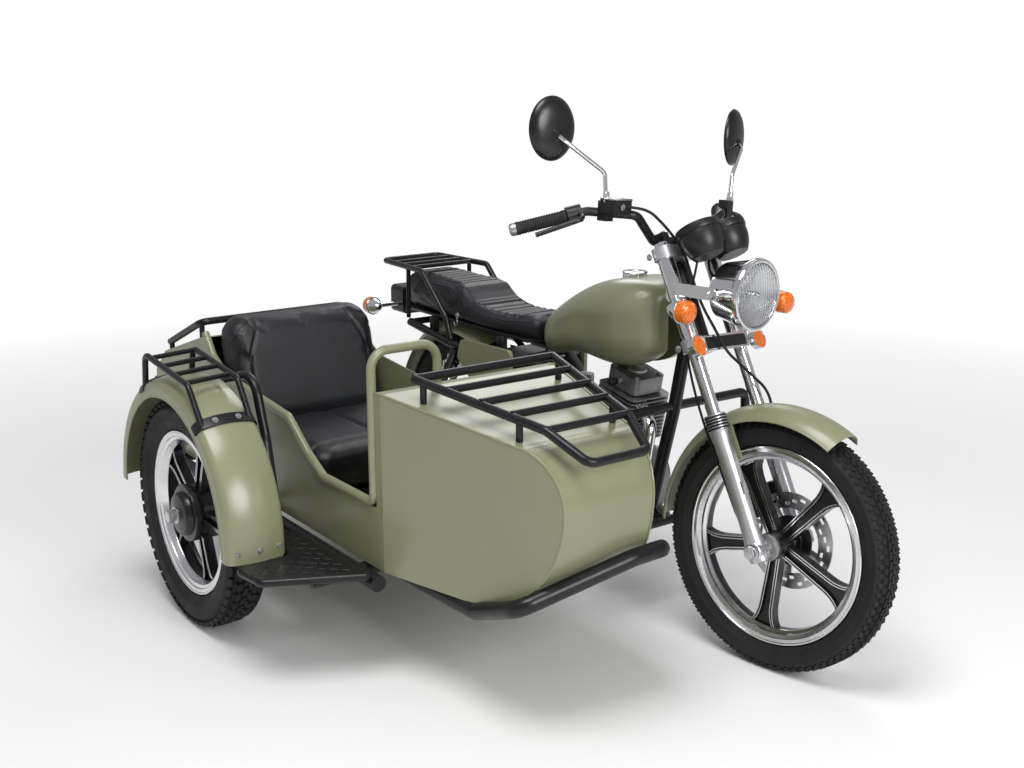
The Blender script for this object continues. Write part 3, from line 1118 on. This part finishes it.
# ---- engine: bolts round the covers, head nuts, spark plug and its cap
covers = (
    # along, height, face, side, bolt circle, bolts
    (0.752, 0.33, 0.112, -1, 0.063, 7),
    (0.6, 0.338, 0.112, -1, 0.047, 5),
    (0.74, 0.33, 0.108, 1, 0.059, 7),
)
bm = bmesh.new()
for x, z, face, side, circle, bolts in covers:
    for n in range(bolts):
        angle = math.tau * (n + 0.3) / bolts
        addBolt(bm, onCircle((x, 0, z), circle, angle, side * face), (0, side, 0), 0.0042)
    boss = [(0, 0), (circle * 0.55, 0), (circle * 0.57, 0.0016), (circle * 0.5, 0.0028), (0, 0.0028)]
    addSpin(bm, boss, 40, 1, (0, side, 0), (x, side * face, z))
headLean = math.radians(12)
headUp = Vector((math.sin(headLean), 0, math.cos(headLean)))
headAhead = Vector((math.cos(headLean), 0, -math.sin(headLean)))
headTop = Vector((0.742, 0, 0.462)) + headUp * 0.1825
for ahead in (-0.044, 0.044):
    for side in (-0.04, 0.04):
        addBolt(bm, headTop + headAhead * ahead + aside(side), headUp, 0.006)
addTurned(bm, [(0, 0), (26, 0), (27, 2), (24, 6), (0, 7)], 40, 1, headUp, headTop)
plug = Vector((0.742, -0.054, 0.462)) + headUp * 0.16
addTurned(bm, [(0, -4), (7.5, -4), (7.5, 6), (5, 8), (5, 18), (0, 18)], 6, 0, (0, -1, 0), plug)
addTurned(bm, [(0, 14), (8.5, 14), (9.5, 20), (9.5, 36), (7, 40), (0, 40)], 28, 2, (0, -1, 0), plug)
newPiece("engineFittings", bm, "brushedSteel satinAlloy gripRubber", "vehicle")

# ---- silencer end, heat shield and clamp; rear lamp lens and blank plate; tank cap's flap
pipeWay = Vector((-1, 0, 0.08)).normalized()
pipeFoot = Vector((0.27, -0.1975, 0.3))
bm = bmesh.new()
addTurned(bm, [(41.8, 534), (43.2, 536), (43.2, 541), (38, 545), (18, 547), (15, 548), (15, 560),
               (13, 560), (13, 540)], 48, 0, pipeWay, pipeFoot)
for at in (0.114, 0.3, 0.52):
    band = [(0.0418, at), (0.043, at + 0.001), (0.043, at + 0.01), (0.0418, at + 0.011)]
    addSpin(bm, band, 48, 0, pipeWay, pipeFoot)
newPiece("silencerTrim", bm, "chromePlate", "vehicle")
bm = bmesh.new()
addBlock(bm, (-0.3925, 0, 0.676), (0.004, 0.098, 0.062), None, 0.0018, 0)
addBlock(bm, (-0.3925, 0, 0.633), (0.003, 0.092, 0.014), None, 0.0014, 1)
newPiece("rearLens", bm, "redFacets dialWhite", "vehicle")
bm = bmesh.new()
addTurned(bm, [(31.6, 899), (33, 899.6), (33.5, 901.5), (32, 903.4), (24, 904.8), (23.2, 903.6),
               (0, 903.6)], 48, 0, (0, 0, 1), (0.762, 0, 0))
addBlock(bm, (0.762, 0, 0.9046), (0.03, 0.012, 0.0026), None, 0.001, 0)
newPiece("capFlap", bm, "chromePlate", "vehicle")
print("engine and small trim made")

# ---- floor, world and lights
studio = {"floorSize": 60, "paper": 0.8, "fade": (1.9, 4.2), "world": 0.5,
          "mirrored": (0.36, 0.36, 0.378, 1), "white": 1.0}


def grey(shade):
    return shade, shade, shade, 1


def paperMaterial(name):
    # pale paper that turns plain white away from the object, so the floor meets the background unseen
    tree, shader, place = startMaterial(name)
    feed(tree, shader, {"Base Color": grey(studio["paper"]), "Roughness": 0.9, "Specular IOR Level": 0.1})
    span = addNode(tree, "VectorMath", {0: place}, operation="LENGTH")
    far = addRange(tree, span.outputs["Value"], 0.0, 1.0, *studio["fade"])
    seen = addNode(tree, "LightPath", {}).outputs["Is Camera Ray"]
    share = addNode(tree, "Math", {0: far, 1: seen}, operation="MULTIPLY")
    glow = addNode(tree, "Emission", {"Strength": studio["white"]})
    mix = addNode(tree, "MixShader", {"Fac": share.outputs["Value"], 1: shader.outputs["BSDF"],
                                      2: glow.outputs["Emission"]})
    feed(tree, tree.nodes["Material Output"], {"Surface": mix.outputs["Shader"]})


paperMaterial("paper")
bpy.ops.mesh.primitive_plane_add(size=studio["floorSize"], location=(0, 0, 0))
floor = bpy.context.object
floor.name = "floor"
floor.data.materials.append(bpy.data.materials["paper"])

world = bpy.data.worlds.new("studio")
bpy.context.scene.world = world
world.use_nodes = True
tree = world.node_tree
rays = addNode(tree, "LightPath", {}).outputs
glow = addNode(tree, "MixRGB", {"Fac": rays["Is Camera Ray"], "Color1": grey(studio["world"]),
                                "Color2": grey(studio["white"])})
mirrored = addNode(tree, "MixRGB", {"Fac": rays["Is Glossy Ray"], "Color1": glow.outputs["Color"],
                                    "Color2": studio["mirrored"]})
feed(tree, tree.nodes["Background"], {"Color": mirrored.outputs["Color"]})


def addLight(name, place, aim, size, energy):
    light = bpy.data.lights.new(name, "AREA")
    light.shape = "DISK"
    light.size = size
    light.energy = energy
    lamp = addObject(name, light)
    lamp.location = place
    lamp.rotation_euler = (Vector(aim) - Vector(place)).to_track_quat("-Z", "Y").to_euler()


addLight("keyLight", (1.0, -1.5, 4.8), (0, -0.1, 0.4), 2.4, 132)
addLight("fillLight", (5.0, -0.3, 2.6), (0, 0, 0.5), 2.4, 145)
addLight("backLight", (-3.0, 2.8, 3.4), (0, 0, 0.6), 2.2, 42)
bpy.context.scene.view_settings.view_transform = "Standard"
print("studio set")
